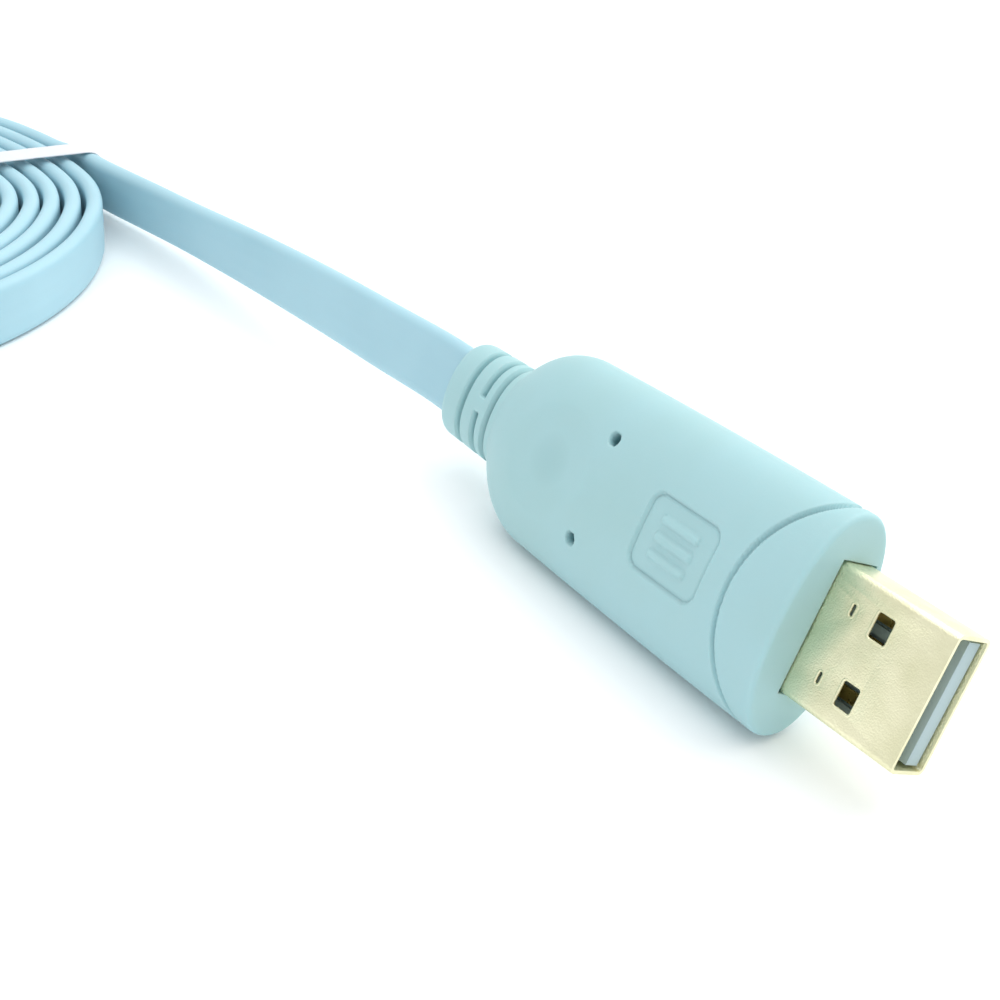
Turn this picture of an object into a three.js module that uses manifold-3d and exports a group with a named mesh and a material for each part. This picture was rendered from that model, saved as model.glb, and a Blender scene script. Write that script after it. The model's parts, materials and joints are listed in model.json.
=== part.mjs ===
// A flat console cable: a moulded USB plug, its flat lead wound in a coil, and the clear RJ45 plug at the far end.
// Millimetres, +Z up. The cable lies on a level floor. The origin is on the floor, in the middle below the USB plug.
// The USB plug is drawn in its own frame: X the way it goes in, Y its width, Z its thickness, with the origin in the
// middle of the shell where it leaves the housing. It is then turned about X on to its edge.
import * as THREE from 'three';
import { mergeVertices } from 'three/addons/utils/BufferGeometryUtils.js';
import Module from 'manifold-3d';

const wasm = await Module();
wasm.setup();

// The clearance between pieces that touch in the real cable
const GAP = 0.3;

// USB plug: the sheet-metal shell
const SHELL_WIDTH = 12.0;
const SHELL_HEIGHT = 4.5;
const SHELL_WALL = 0.32;
const SHELL_BEND = 0.6;
const SHELL_REACH = 12.0;
const SHELL_BURIED = 6.0;
const WINDOW_LENGTH = 1.95;
const WINDOW_WIDTH = 2.45;
const WINDOW_FROM_TIP = 5.27;
const WINDOW_SPACING = 6.08;
const SLOT_LENGTH = 0.55;
const SLOT_WIDTH = 1.25;
const SLOT_FROM_HOUSING = 2.7;

// USB plug: the tongue and its contacts
const TONGUE_RECESS = 0.4;
const TONGUE_THICKNESS = 1.55;
const TONGUE_BACK_LENGTH = 7.4;
const CONTACT_OFFSETS = [-3.5, -1.0, 1.0, 3.5];
const CONTACT_WIDTH = 1.1;
const CONTACT_THICKNESS = 0.3;
const CONTACT_LENGTH = 7.4;
const CONTACT_FROM_TIP = 1.6;
const CONTACT_GROOVE_DEPTH = 0.55;

// USB plug: the moulded housing
const HOUSING_HALF_WIDTH = 10.2;
const HOUSING_HALF_THICKNESS = 5.35;
const HOUSING_THICKNESS_TAPER = 0.5;
const HOUSING_OFFSET = 1.2;
const HOUSING_ROUNDNESS = 2.2;
const HOUSING_EDGE_RADIUS = 1.0;
const DOME_START = -33.5;
const DOME_RADIUS = 9.65;
const OUTLINE_STEPS = 56;

// USB plug: its grooves, holes, dimple and marked pocket
const FRONT_GROOVE_RADIUS = 14.0;
const FRONT_GROOVE_BACK = -6.4;
const FRONT_GROOVE_WIDTH = 0.6;
const FRONT_GROOVE_DEPTH = 0.6;
const HOLE_DIAMETER = 1.15;
const HOLE_DEPTH = 1.6;
const HOLE_X = -24.7;
const HOLE_SPACING = 9.9;
const DIMPLE_X = -31.0;
const DIMPLE_SPHERE_RADIUS = 38.0;
const DIMPLE_DEPTH = 0.4;
const POCKET_X = -13.1;
const POCKET_LENGTH = 8.6;
const POCKET_WIDTH = 7.2;
const POCKET_CORNER = 1.3;
const POCKET_DEPTH = 0.28;
const MARK_LENGTH = 4.6;
const MARK_BAR_WIDTH = 0.7;
const MARK_BAR_SPACING = 1.6;

// USB plug: the strain relief, moulded in one with the housing
const RELIEF_HALF_WIDTH = 5.2;
const RELIEF_REAR_HALF_WIDTH = 5.0;
const RELIEF_HALF_THICKNESS = 3.5;
const RELIEF_REAR_HALF_THICKNESS = 3.2;
const RELIEF_OFFSET = 0.6;
const RELIEF_END = -51.3;
const RELIEF_EDGE_RADIUS = 1.6;
const RELIEF_GROOVES = [-47.3, -44.7, -42.9];
const RELIEF_BRIDGED_GROOVE = 1;
const RELIEF_GROOVE_WIDTH = 0.75;
const RELIEF_GROOVE_DEPTH = 0.85;
const RELIEF_BRIDGE_WIDTH = 1.7;

// How the USB plug lies: turned about its length from flat, almost on to its edge, and resting on its slimmer rear
const PLUG_ROLL = THREE.MathUtils.degToRad(65.4);
const PLUG_NOSE_UP = THREE.MathUtils.degToRad(1.7);

// The flat lead
const LEAD_WIDTH = 7.3;
const LEAD_THICKNESS = 1.9;
const LEAD_EDGE = 0.45;
const LEAD_STRAIGHT = 5.0;

// The coil, wound on edge: its middle and radii are measured from below the middle of the housing's front face
const COIL_CENTRE = new THREE.Vector2(-134.7, -49.4);
const COIL_OUTER_TURN_RADIUS = 40.6;
const COIL_TURN_PITCH = 2.6;
const COIL_TURNS = 7;
const COIL_EXIT_ANGLE = THREE.MathUtils.degToRad(102);
const COIL_STEPS = 96;
const TAIL_LEAVES_TURN = THREE.MathUtils.degToRad(84);

// The tie around the turns
const TIE_ANGLE = THREE.MathUtils.degToRad(87);
const TIE_WIDTH = 2.8;
const TIE_THICKNESS = 0.4;
const TIE_SLACK = 0.6;

// The RJ45 plug, which lies on its side within the coil. Its place is that of its rear face: an angle from the
// coil's inner end, a distance from the coil's middle and the way that it points.
const RJ45_TURN = THREE.MathUtils.degToRad(147.5);
const RJ45_DISTANCE = 5.84;
const RJ45_HEADING_TURN = THREE.MathUtils.degToRad(280);
const RJ45_LENGTH = 21.5;
const RJ45_WIDTH = 11.68;
const RJ45_HEIGHT = 8.0;
const RJ45_EDGE = 0.6;
const RJ45_THROAT_DEPTH = 9.0;
const RJ45_CONTACT_COUNT = 8;
const RJ45_CONTACT_PITCH = 1.02;
const RJ45_SLOT_WIDTH = 0.72;
const RJ45_SLOT_LENGTH = 6.2;
const RJ45_SLOT_DEPTH = 3.6;
const RJ45_CONTACT_THICKNESS = 0.3;
const RJ45_CONTACT_HEIGHT = 2.4;
const RJ45_CONTACT_LENGTH = 5.0;
const LATCH_WIDTH = 6.2;
const LATCH_TIP_WIDTH = 3.3;
const LATCH_TIP_LENGTH = 9.0;
const LATCH_THICKNESS = 0.9;
const LATCH_RISE = 3.0;
const LATCH_LENGTH = 15.5;
const LATCH_SETBACK = 3.0;

// Materials
const softPlastic = new THREE.MeshStandardMaterial({ color: 0xa9d8e4, roughness: 0.55, metalness: 0 });
const tonguePlastic = new THREE.MeshStandardMaterial({ color: 0xa8bfc9, roughness: 0.45, metalness: 0 });
const platedSteel = new THREE.MeshStandardMaterial({ color: 0xcfc9ac, roughness: 0.32, metalness: 1 });
const gold = new THREE.MeshStandardMaterial({ color: 0xd8b25a, roughness: 0.3, metalness: 1 });
const clearPlastic = new THREE.MeshStandardMaterial({ color: 0xdfe9ec, roughness: 0.15, metalness: 0 });
const whiteTie = new THREE.MeshStandardMaterial({ color: 0xf2f2ef, roughness: 0.5, metalness: 0 });

// Solids: booleans on closed meshes

function toSolid(geometry) {
  const plain = geometry.clone();
  plain.deleteAttribute('normal');
  plain.deleteAttribute('uv');
  const merged = mergeVertices(plain, 1e-4);
  const vertProperties = new Float32Array(merged.attributes.position.array);
  const triVerts = new Uint32Array(merged.index.array);
  return new wasm.Manifold(new wasm.Mesh({ numProp: 3, vertProperties, triVerts }));
}

function toGeometry(solid) {
  const mesh = solid.getMesh();
  const geometry = new THREE.BufferGeometry();
  geometry.setAttribute('position', new THREE.BufferAttribute(new Float32Array(mesh.vertProperties), 3));
  geometry.setIndex(new THREE.BufferAttribute(new Uint32Array(mesh.triVerts), 1));
  geometry.computeVertexNormals();
  return geometry;
}

function block(from, to) {
  const size = new THREE.Vector3().subVectors(to, from);
  const geometry = new THREE.BoxGeometry(size.x, size.y, size.z);
  return geometry.translate(from.x + size.x / 2, from.y + size.y / 2, from.z + size.z / 2);
}

function blockSolid(x0, x1, y0, y1, z0, z1) {
  return toSolid(block(new THREE.Vector3(x0, y0, z0), new THREE.Vector3(x1, y1, z1)));
}

function roundedRectangle(width, height, radius) {
  const x = width / 2;
  const y = height / 2;
  const shape = new THREE.Shape();
  shape.moveTo(x, y - radius);
  shape.absarc(x - radius, y - radius, radius, 0, Math.PI / 2);
  shape.absarc(-x + radius, y - radius, radius, Math.PI / 2, Math.PI);
  shape.absarc(-x + radius, -y + radius, radius, Math.PI, 1.5 * Math.PI);
  shape.absarc(x - radius, -y + radius, radius, 1.5 * Math.PI, 2 * Math.PI);
  return shape;
}

function prism(shape, height, curveSegments = 6) {
  return new THREE.ExtrudeGeometry(shape, { depth: height, bevelEnabled: false, curveSegments });
}

// Turns a prism that was drawn in the plane across X so that it runs along X from a given place
function alongX(geometry, start) {
  return geometry.rotateX(Math.PI / 2).rotateZ(Math.PI / 2).translate(start, 0, 0);
}

// A closed loft through rings of points that all have the same number of points
function loft(rings) {
  const count = rings[0].length;
  const positions = [];
  const index = [];
  for (const ring of rings) {
    for (const point of ring) positions.push(point.x, point.y, point.z);
  }
  for (let i = 0; i + 1 < rings.length; i += 1) {
    for (let j = 0; j < count; j += 1) {
      const a = i * count + j;
      const b = i * count + ((j + 1) % count);
      index.push(a, b, b + count, a, b + count, a + count);
    }
  }
  const ends = [[0, -1], [rings.length - 1, 1]];
  for (const [ringNumber, side] of ends) {
    const middle = new THREE.Vector3();
    for (const point of rings[ringNumber]) middle.add(point);
    middle.divideScalar(count);
    const centre = positions.length / 3;
    positions.push(middle.x, middle.y, middle.z);
    for (let j = 0; j < count; j += 1) {
      const a = ringNumber * count + j;
      const b = ringNumber * count + ((j + 1) % count);
      if (side > 0) index.push(centre, a, b);
      else index.push(centre, b, a);
    }
  }
  const geometry = new THREE.BufferGeometry();
  geometry.setAttribute('position', new THREE.Float32BufferAttribute(positions, 3));
  geometry.setIndex(index);
  geometry.computeVertexNormals();
  return geometry;
}

// An oval across X whose roundness is 2 for an ellipse and more for a squarer one
function oval(x, halfWidth, halfThickness, offset, roundness, steps = OUTLINE_STEPS) {
  const ring = [];
  for (let i = 0; i < steps; i += 1) {
    const angle = (i / steps) * 2 * Math.PI;
    const c = Math.cos(angle);
    const s = Math.sin(angle);
    const y = halfWidth * Math.sign(c) * Math.abs(c) ** (2 / roundness);
    const z = halfThickness * Math.sign(s) * Math.abs(s) ** (2 / roundness);
    ring.push(new THREE.Vector3(x, y, z + offset));
  }
  return ring;
}

// The housing

const DOME_END_TURN = Math.acos(RELIEF_HALF_WIDTH / DOME_RADIUS);
const DOME_END = DOME_START - DOME_RADIUS * Math.sin(DOME_END_TURN);

// The oval's half sizes and offset at a place along the housing, before its edges are rounded
function housingOval(x) {
  if (x >= DOME_START) {
    const along = (x / DOME_START) ** 2;
    return {
      halfWidth: THREE.MathUtils.lerp(HOUSING_HALF_WIDTH, DOME_RADIUS, along),
      halfThickness: HOUSING_HALF_THICKNESS - HOUSING_THICKNESS_TAPER * along,
      offset: HOUSING_OFFSET,
    };
  }
  if (x >= DOME_END) {
    const turn = Math.asin((DOME_START - x) / DOME_RADIUS);
    const left = (Math.cos(turn) - Math.cos(DOME_END_TURN)) / (1 - Math.cos(DOME_END_TURN));
    const fullThickness = HOUSING_HALF_THICKNESS - HOUSING_THICKNESS_TAPER;
    return {
      halfWidth: DOME_RADIUS * Math.cos(turn),
      halfThickness: THREE.MathUtils.lerp(RELIEF_HALF_THICKNESS, fullThickness, left),
      offset: THREE.MathUtils.lerp(RELIEF_OFFSET, HOUSING_OFFSET, left),
    };
  }
  const along = (DOME_END - x) / (DOME_END - RELIEF_END);
  return {
    halfWidth: THREE.MathUtils.lerp(RELIEF_HALF_WIDTH, RELIEF_REAR_HALF_WIDTH, along),
    halfThickness: THREE.MathUtils.lerp(RELIEF_HALF_THICKNESS, RELIEF_REAR_HALF_THICKNESS, along),
    offset: RELIEF_OFFSET,
  };
}

// How far a rounded edge of a given radius draws the outline in, at a distance from the end face
function edgeInset(distance, radius) {
  if (distance >= radius) return 0;
  return radius - Math.sqrt(radius ** 2 - (radius - distance) ** 2);
}

// The housing's outside, or the same form drawn in by a depth all round
function housingBody(inset) {
  const stations = [];
  const edgeSteps = 5;
  for (let i = 0; i <= edgeSteps; i += 1) {
    const lift = RELIEF_EDGE_RADIUS * (1 - Math.cos((i / edgeSteps) * Math.PI / 2));
    stations.push(RELIEF_END + lift);
  }
  for (let x = RELIEF_END + 2.6; x < DOME_END; x += 1.5) stations.push(x);
  const domeSteps = 9;
  for (let i = domeSteps; i >= 0; i -= 1) {
    stations.push(DOME_START - DOME_RADIUS * Math.sin(DOME_END_TURN * (i / domeSteps)));
  }
  const bodySteps = 8;
  for (let i = 1; i < bodySteps; i += 1) {
    stations.push(THREE.MathUtils.lerp(DOME_START, -HOUSING_EDGE_RADIUS, i / bodySteps));
  }
  for (let i = edgeSteps; i >= 0; i -= 1) {
    stations.push(-HOUSING_EDGE_RADIUS * (1 - Math.cos((i / edgeSteps) * Math.PI / 2)));
  }
  const rings = stations.map((x) => {
    const shape = housingOval(x);
    const rear = edgeInset(x - RELIEF_END, RELIEF_EDGE_RADIUS);
    const front = edgeInset(-x, HOUSING_EDGE_RADIUS);
    const drawn = inset + rear + front;
    return oval(x, shape.halfWidth - drawn, shape.halfThickness - drawn, shape.offset, HOUSING_ROUNDNESS);
  });
  return toSolid(loft(rings));
}

function frontGroove() {
  const middle = FRONT_GROOVE_BACK + FRONT_GROOVE_RADIUS;
  const ring = new THREE.Shape();
  ring.absarc(middle, 0, FRONT_GROOVE_RADIUS, Math.PI / 2, 1.5 * Math.PI);
  ring.absarc(middle, 0, FRONT_GROOVE_RADIUS - FRONT_GROOVE_WIDTH, 1.5 * Math.PI, Math.PI / 2, true);
  const height = 4 * HOUSING_HALF_THICKNESS;
  return toSolid(prism(ring, height, 40).translate(0, 0, -height / 2));
}

function reliefGroove(number) {
  const half = RELIEF_GROOVE_WIDTH / 2;
  const middle = RELIEF_GROOVES[number];
  const reach = 2 * HOUSING_HALF_WIDTH;
  const slab = blockSolid(middle - half, middle + half, -reach, reach, -reach, reach);
  if (number !== RELIEF_BRIDGED_GROOVE) return slab;
  const bridge = RELIEF_BRIDGE_WIDTH / 2;
  return slab.subtract(blockSolid(middle - 1, middle + 1, -bridge, bridge, -reach, reach));
}

// A plain mark of raised bars in the pocket
function pocketTool() {
  const reach = 2 * HOUSING_HALF_THICKNESS;
  const outline = prism(roundedRectangle(POCKET_LENGTH, POCKET_WIDTH, POCKET_CORNER), reach);
  let tool = toSolid(outline.translate(POCKET_X, 0, 0));
  for (const place of [-1, 0, 1]) {
    const bar = prism(roundedRectangle(MARK_LENGTH, MARK_BAR_WIDTH, MARK_BAR_WIDTH * 0.45), reach);
    tool = tool.subtract(toSolid(bar.translate(POCKET_X, place * MARK_BAR_SPACING, 0)));
  }
  return tool;
}

function housingTop(x, y) {
  const shape = housingOval(x);
  const rest = 1 - (Math.abs(y) / shape.halfWidth) ** HOUSING_ROUNDNESS;
  return shape.offset + shape.halfThickness * rest ** (1 / HOUSING_ROUNDNESS);
}

function usbHousing() {
  let body = housingBody(0);
  body = body.subtract(frontGroove().subtract(housingBody(FRONT_GROOVE_DEPTH)));
  const reliefCore = housingBody(RELIEF_GROOVE_DEPTH);
  RELIEF_GROOVES.forEach((place, number) => {
    body = body.subtract(reliefGroove(number).subtract(reliefCore));
  });
  body = body.subtract(pocketTool().subtract(housingBody(POCKET_DEPTH)));
  for (const side of [-1, 1]) {
    const y = side * HOLE_SPACING / 2;
    const top = housingTop(HOLE_X, y);
    const drill = new THREE.CylinderGeometry(HOLE_DIAMETER / 2, HOLE_DIAMETER / 2, 2 * HOLE_DEPTH, 16);
    body = body.subtract(toSolid(drill.rotateX(Math.PI / 2).translate(HOLE_X, y, top)));
  }
  const ball = new THREE.SphereGeometry(DIMPLE_SPHERE_RADIUS, 80, 60).rotateX(Math.PI / 2);
  const ballHeight = housingTop(DIMPLE_X, 0) - DIMPLE_DEPTH + DIMPLE_SPHERE_RADIUS;
  body = body.subtract(toSolid(ball.translate(DIMPLE_X, 0, ballHeight)));
  const socket = roundedRectangle(SHELL_WIDTH + 2 * GAP, SHELL_HEIGHT + 2 * GAP, SHELL_BEND + GAP);
  const depth = SHELL_BURIED + GAP;
  body = body.subtract(toSolid(alongX(prism(socket, depth + 1), -depth)));
  return toGeometry(body);
}

// The shell, its tongue and contacts

function usbShell() {
  const length = SHELL_BURIED + SHELL_REACH;
  const outline = roundedRectangle(SHELL_WIDTH, SHELL_HEIGHT, SHELL_BEND);
  const innerWidth = SHELL_WIDTH - 2 * SHELL_WALL;
  const innerHeight = SHELL_HEIGHT - 2 * SHELL_WALL;
  outline.holes.push(roundedRectangle(innerWidth, innerHeight, SHELL_BEND - SHELL_WALL));
  let shell = toSolid(alongX(prism(outline, length), -SHELL_BURIED));
  const windowStart = SHELL_REACH - WINDOW_FROM_TIP - WINDOW_LENGTH;
  const windowOffset = (WINDOW_SPACING - WINDOW_WIDTH) / 2;
  for (const side of [-1, 1]) {
    const inner = side * windowOffset;
    const outer = side * (windowOffset + WINDOW_WIDTH);
    const low = Math.min(inner, outer);
    const high = Math.max(inner, outer);
    shell = shell.subtract(blockSolid(windowStart, windowStart + WINDOW_LENGTH, low, high, -SHELL_HEIGHT, SHELL_HEIGHT));
    const y = side * WINDOW_SPACING / 2;
    const slotEnd = SLOT_FROM_HOUSING + SLOT_LENGTH / 2;
    const half = SLOT_WIDTH / 2;
    shell = shell.subtract(blockSolid(slotEnd - SLOT_LENGTH, slotEnd, y - half, y + half, 0, SHELL_HEIGHT));
  }
  return toGeometry(shell);
}

const SHELL_FLOOR = -SHELL_HEIGHT / 2 + SHELL_WALL;
const TONGUE_TOP = SHELL_FLOOR + GAP + TONGUE_THICKNESS;

function usbTongue() {
  const halfWidth = SHELL_WIDTH / 2 - SHELL_WALL - GAP;
  const back = -SHELL_BURIED + GAP;
  const tip = SHELL_REACH - TONGUE_RECESS;
  const bottom = SHELL_FLOOR + GAP;
  let tongue = blockSolid(back, tip, -halfWidth, halfWidth, bottom, TONGUE_TOP);
  tongue = tongue.add(blockSolid(back, back + TONGUE_BACK_LENGTH, -halfWidth, halfWidth, bottom, -bottom));
  const grooveHalf = CONTACT_WIDTH / 2 + GAP;
  const grooveEnd = SHELL_REACH - CONTACT_FROM_TIP + GAP;
  const grooveStart = grooveEnd - CONTACT_LENGTH - 2 * GAP;
  for (const y of CONTACT_OFFSETS) {
    const floor = TONGUE_TOP - CONTACT_GROOVE_DEPTH;
    tongue = tongue.subtract(blockSolid(grooveStart, grooveEnd, y - grooveHalf, y + grooveHalf, floor, TONGUE_TOP + 1));
  }
  return toGeometry(tongue);
}

function usbContact(y) {
  const end = SHELL_REACH - CONTACT_FROM_TIP;
  const bottom = TONGUE_TOP - CONTACT_GROOVE_DEPTH + GAP;
  const from = new THREE.Vector3(end - CONTACT_LENGTH, y - CONTACT_WIDTH / 2, bottom);
  const to = new THREE.Vector3(end, y + CONTACT_WIDTH / 2, bottom + CONTACT_THICKNESS);
  return block(from, to);
}

// The flat lead: a straight strip, bent along a curve and turned about it by a roll that changes along the way.
// A roll of 0 stands the strip on its edge and a quarter turn lays it flat.
function ribbon(curve, steps, rollAt) {
  const x = LEAD_THICKNESS / 2;
  const y = LEAD_WIDTH / 2;
  const e = LEAD_EDGE;
  const section = new THREE.Shape([
    new THREE.Vector2(x, -y + e), new THREE.Vector2(x, y - e), new THREE.Vector2(x - e, y),
    new THREE.Vector2(-x + e, y), new THREE.Vector2(-x, y - e), new THREE.Vector2(-x, -y + e),
    new THREE.Vector2(-x + e, -y), new THREE.Vector2(x - e, -y),
  ]);
  const strip = new THREE.ExtrudeGeometry(section, { depth: 1, steps, bevelEnabled: false });
  const position = strip.attributes.position;
  const up = new THREE.Vector3(0, 0, 1);
  for (let i = 0; i < position.count; i += 1) {
    const s = position.getZ(i);
    const tangent = curve.getTangentAt(s);
    const side = new THREE.Vector3().crossVectors(up, tangent).normalize();
    const edge = new THREE.Vector3().crossVectors(tangent, side);
    side.applyAxisAngle(tangent, rollAt(s));
    edge.applyAxisAngle(tangent, rollAt(s));
    const point = curve.getPointAt(s);
    point.addScaledVector(side, position.getX(i)).addScaledVector(edge, position.getY(i));
    position.setXYZ(i, point.x, point.y, point.z);
  }
  strip.computeVertexNormals();
  return strip;
}

function smooth(curve) {
  curve.arcLengthDivisions = 800;
  return curve;
}

// The coil

function coilPoint(angle, radius, height) {
  const x = COIL_CENTRE.x + radius * Math.cos(angle);
  const y = COIL_CENTRE.y + radius * Math.sin(angle);
  return new THREE.Vector3(x, y, height);
}

const COIL_END_ANGLE = COIL_EXIT_ANGLE + COIL_TURNS * 2 * Math.PI;
const COIL_INNER_TURN_RADIUS = COIL_OUTER_TURN_RADIUS - COIL_TURNS * COIL_TURN_PITCH;
const COIL_OUTER_RADIUS = COIL_OUTER_TURN_RADIUS + LEAD_THICKNESS / 2;
const COIL_BORE_RADIUS = COIL_INNER_TURN_RADIUS - LEAD_THICKNESS / 2;

// The space beside the outer turn that the leaving lead takes, along the straight line on which it leaves
function leadNotch() {
  const side = COIL_OUTER_TURN_RADIUS - LEAD_THICKNESS / 2 - GAP;
  const reach = COIL_OUTER_RADIUS;
  const box = block(new THREE.Vector3(-GAP, side, -1), new THREE.Vector3(reach, 2 * reach, LEAD_WIDTH + 1));
  box.rotateZ(COIL_EXIT_ANGLE - Math.PI / 2);
  return toSolid(box.translate(COIL_CENTRE.x, COIL_CENTRE.y, 0));
}

// The space inside the bore that the lead takes where it climbs out of the coil
function tailNotch() {
  const radius = COIL_INNER_TURN_RADIUS + LEAD_THICKNESS / 2 + GAP;
  const start = COIL_END_ANGLE - GAP / COIL_INNER_TURN_RADIUS;
  const end = COIL_END_ANGLE + TAIL_LEAVES_TURN;
  const inside = COIL_BORE_RADIUS - 2;
  const sector = new THREE.Shape();
  sector.absarc(0, 0, radius, start, end);
  sector.absarc(0, 0, inside, end, start, true);
  return toSolid(prism(sector, LEAD_WIDTH + 2, 30).translate(COIL_CENTRE.x, COIL_CENTRE.y, -1));
}

function tieNotch() {
  const half = TIE_WIDTH / 2 + GAP;
  const reach = COIL_OUTER_RADIUS + 1;
  const box = block(new THREE.Vector3(0, -half, -1), new THREE.Vector3(reach, half, TIE_THICKNESS + GAP));
  return toSolid(box.rotateZ(TIE_ANGLE).translate(COIL_CENTRE.x, COIL_CENTRE.y, 0));
}

function coil() {
  const profile = [
    new THREE.Vector2(COIL_BORE_RADIUS, 0), new THREE.Vector2(COIL_OUTER_RADIUS, 0),
    new THREE.Vector2(COIL_OUTER_RADIUS, LEAD_WIDTH), new THREE.Vector2(COIL_BORE_RADIUS, LEAD_WIDTH),
    new THREE.Vector2(COIL_BORE_RADIUS, 0),
  ];
  const ring = new THREE.LatheGeometry(profile, COIL_STEPS).rotateX(Math.PI / 2);
  let solid = toSolid(ring.translate(COIL_CENTRE.x, COIL_CENTRE.y, 0));
  solid = solid.subtract(leadNotch()).subtract(tailNotch()).subtract(tieNotch());
  return toGeometry(solid);
}

function coilTie() {
  const inside = COIL_BORE_RADIUS - TIE_SLACK;
  const outside = COIL_OUTER_RADIUS + COIL_TURN_PITCH;
  const t = TIE_THICKNESS;
  const top = LEAD_WIDTH + t + 2 * GAP;
  const loop = new THREE.Shape([
    new THREE.Vector2(inside - t, 0), new THREE.Vector2(outside + t, 0),
    new THREE.Vector2(outside + t, top + t), new THREE.Vector2(inside - t, top + t),
  ]);
  loop.holes.push(new THREE.Path([
    new THREE.Vector2(inside, t), new THREE.Vector2(inside, top),
    new THREE.Vector2(outside, top), new THREE.Vector2(outside, t),
  ]));
  const band = prism(loop, TIE_WIDTH).rotateX(Math.PI / 2).translate(0, TIE_WIDTH / 2, 0);
  return band.rotateZ(TIE_ANGLE).translate(COIL_CENTRE.x, COIL_CENTRE.y, 0);
}

// The stretch between the strain relief and the coil. Its points are measured as the coil's are.
const LEAD_ROUTE = [
  [-66.0, -1.05, 7.7], [-75.0, -1.5, 7.3], [-84.5, -2.0, 6.75], [-95.0, -2.75, 6.1],
  [-105.5, -3.65, 5.4], [-114.0, -4.65, 5.0], [-121.0, -5.65, 4.7],
  [-126.0, -6.4, 4.5], [-131.0, -7.1, 4.35], [-135.2, -8.0, 4.12], [-139.0, -8.78, 3.72],
];

function leadCurve(plugFrame) {
  const points = [-GAP, -GAP - LEAD_STRAIGHT].map((behind) => (
    new THREE.Vector3(RELIEF_END + behind, 0, RELIEF_OFFSET).applyMatrix4(plugFrame)
  ));
  for (const [x, y, z] of LEAD_ROUTE) points.push(new THREE.Vector3(x, y, z));
  points.push(coilPoint(COIL_EXIT_ANGLE, COIL_OUTER_TURN_RADIUS, LEAD_WIDTH / 2));
  return smooth(new THREE.CatmullRomCurve3(points, false, 'centripetal'));
}

// The RJ45 plug, drawn with X the way it goes in and its latch up, its rear face at the origin

const RJ45_UNDERSIDE = -RJ45_HEIGHT / 2;

function rj45Latch() {
  const top = RJ45_HEIGHT / 2;
  const root = RJ45_LENGTH - LATCH_SETBACK;
  const tail = root - LATCH_LENGTH;
  const t = LATCH_THICKNESS;
  const bend = root - 3 * t;
  const side = new THREE.Shape([
    new THREE.Vector2(root, top - t / 2), new THREE.Vector2(root, top + t),
    new THREE.Vector2(bend, top + 2 * t), new THREE.Vector2(tail, top + LATCH_RISE),
    new THREE.Vector2(tail, top + LATCH_RISE - t), new THREE.Vector2(bend, top + t),
    new THREE.Vector2(root - 1.6 * t, top - t / 2),
  ]);
  let latch = toSolid(prism(side, LATCH_WIDTH).rotateX(Math.PI / 2).translate(0, LATCH_WIDTH / 2, 0));
  for (const sign of [-1, 1]) {
    const edge = sign * LATCH_TIP_WIDTH / 2;
    const beyond = sign * LATCH_WIDTH;
    const trim = blockSolid(tail - 1, tail + LATCH_TIP_LENGTH, Math.min(edge, beyond), Math.max(edge, beyond),
      0, 2 * RJ45_HEIGHT);
    latch = latch.subtract(trim);
  }
  return latch;
}

function rj45ContactY(number) {
  return (number - (RJ45_CONTACT_COUNT - 1) / 2) * RJ45_CONTACT_PITCH;
}

function rj45Plug() {
  const outline = roundedRectangle(RJ45_WIDTH, RJ45_HEIGHT, RJ45_EDGE);
  let plug = toSolid(alongX(prism(outline, RJ45_LENGTH, 2), 0));
  const halfWidth = LEAD_WIDTH / 2 + GAP;
  const halfHeight = LEAD_THICKNESS / 2 + GAP;
  plug = plug.subtract(blockSolid(-1, RJ45_THROAT_DEPTH, -halfWidth, halfWidth, -halfHeight, halfHeight));
  const slotFloor = RJ45_UNDERSIDE + RJ45_SLOT_DEPTH;
  for (let i = 0; i < RJ45_CONTACT_COUNT; i += 1) {
    const y = rj45ContactY(i);
    const slot = blockSolid(RJ45_LENGTH - RJ45_SLOT_LENGTH, RJ45_LENGTH + 1,
      y - RJ45_SLOT_WIDTH / 2, y + RJ45_SLOT_WIDTH / 2, RJ45_UNDERSIDE - 1, slotFloor);
    plug = plug.subtract(slot);
  }
  return toGeometry(plug.add(rj45Latch()));
}

function rj45Contact(number) {
  const y = rj45ContactY(number);
  const start = RJ45_LENGTH - RJ45_SLOT_LENGTH + GAP;
  const top = RJ45_UNDERSIDE + RJ45_SLOT_DEPTH - GAP;
  const half = RJ45_CONTACT_THICKNESS / 2;
  const from = new THREE.Vector3(start, y - half, top - RJ45_CONTACT_HEIGHT);
  return block(from, new THREE.Vector3(start + RJ45_CONTACT_LENGTH, y + half, top));
}

const RJ45_HEADING = COIL_END_ANGLE + RJ45_HEADING_TURN;

// A point on the RJ45 plug's middle line, at a distance ahead of its rear face
function rj45Point(ahead) {
  const rear = coilPoint(COIL_END_ANGLE + RJ45_TURN, RJ45_DISTANCE, RJ45_WIDTH / 2);
  return rear.add(new THREE.Vector3(ahead * Math.cos(RJ45_HEADING), ahead * Math.sin(RJ45_HEADING), 0));
}

// The stretch that curls in from the coil's inner end to the RJ45 plug: angle from that end in degrees, distance
// from the coil's middle, and height of the lead's middle
const TAIL_ROUTE = [
  [10, 22.33, 3.67], [25, 22.2, 3.85], [38, 22.1, 4.2], [50, 22.0, 4.6], [63.6, 21.5, 5.05],
  [77.4, 20.0, 5.4], [91.4, 17.5, 5.65], [106, 14.25, 5.8], [119, 11.15, 5.84], [134, 7.76, 5.84],
];

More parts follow.
